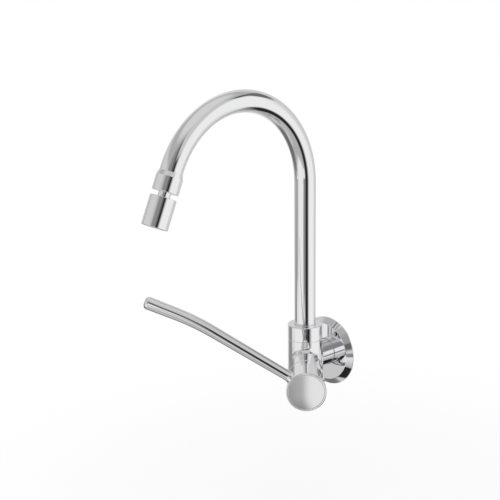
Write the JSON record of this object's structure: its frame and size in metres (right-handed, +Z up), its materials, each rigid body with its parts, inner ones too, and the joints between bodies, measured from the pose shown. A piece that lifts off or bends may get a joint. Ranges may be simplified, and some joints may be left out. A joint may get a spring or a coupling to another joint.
{
  "type": "wall mounted gooseneck tap",
  "caption": "Wall tap with a tall swivelling gooseneck spout, a tilting aerator and an angled quarter-turn valve worked by a long elbow lever.",
  "frame": {"origin": "where the inlet axis meets the wall plane, at the centre of the wall flange", "axes": "+Y points into the wall, the tap stands out along -Y, +Z is up and +X is right for someone who faces the wall"},
  "size_m": [0.1401, 0.2588, 0.3278],
  "materials": {
    "plated_casting": "bright chrome plate on cast brass",
    "plated_sheet": "bright chrome plate on pressed brass",
    "plated_tube": "bright chrome plate on brass tube",
    "bare_brass": "turned brass, unplated",
    "steel_mesh": "punched stainless steel",
    "screw_steel": "stainless steel",
    "seal_rubber": "black nitrile rubber",
    "bush_plastic": "white acetal",
    "insert_plastic": "moulded pale grey plastic",
    "regulator_plastic": "moulded green plastic",
    "disc_ceramic": "lapped white ceramic"
  },
  "bodies": {
    "tap_body": {"valve_body": "plated_casting", "inlet_nipple": "bare_brass", "inlet_strainer": "steel_mesh", "wall_flange": "plated_sheet", "flange_o_ring": "seal_rubber", "flange_gasket": "seal_rubber", "spout_nut": "plated_casting", "nut_bush": "bush_plastic", "cartridge_body": "bare_brass", "cartridge_seal": "seal_rubber", "fixed_disc": "disc_ceramic", "barrel_cover": "plated_casting", "cover_nut": "bare_brass"},
    "spout": {"spout_tube": "plated_tube", "spout_stem": "bare_brass", "spout_o_ring_lower": "seal_rubber", "spout_o_ring_upper": "seal_rubber", "spout_end_collar": "plated_tube", "collar_washer": "seal_rubber"},
    "aerator_swivel": {"ball_stem": "plated_tube", "stem_ring": "bare_brass"},
    "aerator": {"aerator_housing": "plated_tube", "ball_seal": "seal_rubber", "flow_regulator": "regulator_plastic", "aerator_insert": "insert_plastic"},
    "lever": {"lever_hub": "plated_casting", "hub_cap": "plated_sheet", "hub_screw": "screw_steel", "lever_rod": "plated_casting", "spindle": "bare_brass", "spindle_o_ring": "seal_rubber", "moving_disc": "disc_ceramic", "spindle_clip": "screw_steel"}
  },
  "joints": [
    {"name": "spout_swivel", "type": "hinge", "parent": "tap_body", "child": "spout", "pos_m": [0, -0.036, 0.03], "axis": [0, 0, 1], "range_deg": [-90, 90]},
    {"name": "lever_turn", "type": "hinge", "parent": "tap_body", "child": "lever", "pos_m": [0, -0.036, 0], "axis": [0.7071, -0.7071, 0], "range_deg": [0, 90]},
    {"name": "aerator_spin", "type": "hinge", "parent": "spout", "child": "aerator_swivel", "pos_m": [0, -0.2249, 0.19395], "axis": [0, -0.4067, -0.9135], "continuous": true},
    {"name": "aerator_tilt", "type": "hinge", "parent": "aerator_swivel", "child": "aerator", "pos_m": [0, -0.2249, 0.19395], "axis": [1, 0, 0], "range_deg": [-15, 15]}
  ]
}
